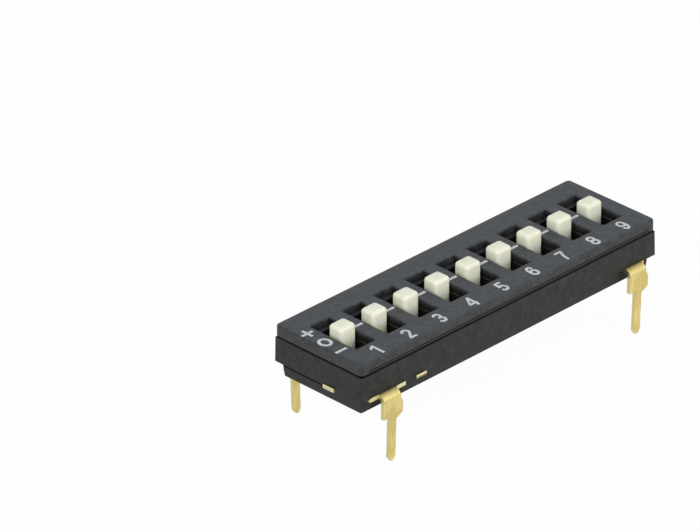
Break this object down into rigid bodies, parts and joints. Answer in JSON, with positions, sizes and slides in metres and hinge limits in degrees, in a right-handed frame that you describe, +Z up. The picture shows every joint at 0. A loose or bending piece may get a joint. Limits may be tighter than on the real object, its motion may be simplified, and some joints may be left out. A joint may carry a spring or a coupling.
{
  "type": "dip switch",
  "caption": "Low black housing with a row of cream three-position slide knobs on top and straight gold-plated through-hole leads down both long sides.",
  "frame": {"origin": "middle of the flat underside of the base", "axes": "+X along the row of switches from the first to the last, +Y to the back where the output leads are, +Z up through the knobs"},
  "size_m": [0.0244, 0.0082, 0.0074],
  "materials": {
    "base_plastic": "matt black moulded thermoplastic",
    "cover_plastic": "matt black moulded thermoplastic",
    "knob_plastic": "satin cream moulded thermoplastic",
    "gold_plate": "gold-plated copper alloy strip",
    "spring_plate": "gold-plated spring strip"
  },
  "bodies": {
    "housing": {"base": "base_plastic", "cover": "cover_plastic", "output_terminal_1": "gold_plate", "output_terminal_2": "gold_plate", "output_terminal_3": "gold_plate", "output_terminal_4": "gold_plate", "output_terminal_5": "gold_plate", "output_terminal_6": "gold_plate", "output_terminal_7": "gold_plate", "output_terminal_8": "gold_plate", "output_terminal_9": "gold_plate", "plus_terminal": "gold_plate", "minus_terminal": "gold_plate"},
    "switch_1": {"slider_1": "knob_plastic", "moving_contact_1": "spring_plate"},
    "switch_2": {"slider_2": "knob_plastic", "moving_contact_2": "spring_plate"},
    "switch_3": {"slider_3": "knob_plastic", "moving_contact_3": "spring_plate"},
    "switch_4": {"slider_4": "knob_plastic", "moving_contact_4": "spring_plate"},
    "switch_5": {"slider_5": "knob_plastic", "moving_contact_5": "spring_plate"},
    "switch_6": {"slider_6": "knob_plastic", "moving_contact_6": "spring_plate"},
    "switch_7": {"slider_7": "knob_plastic", "moving_contact_7": "spring_plate"},
    "switch_8": {"slider_8": "knob_plastic", "moving_contact_8": "spring_plate"},
    "switch_9": {"slider_9": "knob_plastic", "moving_contact_9": "spring_plate"}
  },
  "joints": [
    {"name": "slide_1", "type": "slide", "parent": "housing", "child": "switch_1", "axis": [0, 1, 0], "range_m": [-0.001, 0.001]},
    {"name": "slide_2", "type": "slide", "parent": "housing", "child": "switch_2", "axis": [0, 1, 0], "range_m": [-0.001, 0.001]},
    {"name": "slide_3", "type": "slide", "parent": "housing", "child": "switch_3", "axis": [0, 1, 0], "range_m": [-0.001, 0.001]},
    {"name": "slide_4", "type": "slide", "parent": "housing", "child": "switch_4", "axis": [0, 1, 0], "range_m": [-0.001, 0.001]},
    {"name": "slide_5", "type": "slide", "parent": "housing", "child": "switch_5", "axis": [0, 1, 0], "range_m": [-0.001, 0.001]},
    {"name": "slide_6", "type": "slide", "parent": "housing", "child": "switch_6", "axis": [0, 1, 0], "range_m": [-0.001, 0.001]},
    {"name": "slide_7", "type": "slide", "parent": "housing", "child": "switch_7", "axis": [0, 1, 0], "range_m": [-0.001, 0.001]},
    {"name": "slide_8", "type": "slide", "parent": "housing", "child": "switch_8", "axis": [0, 1, 0], "range_m": [-0.001, 0.001]},
    {"name": "slide_9", "type": "slide", "parent": "housing", "child": "switch_9", "axis": [0, 1, 0], "range_m": [-0.001, 0.001]}
  ]
}
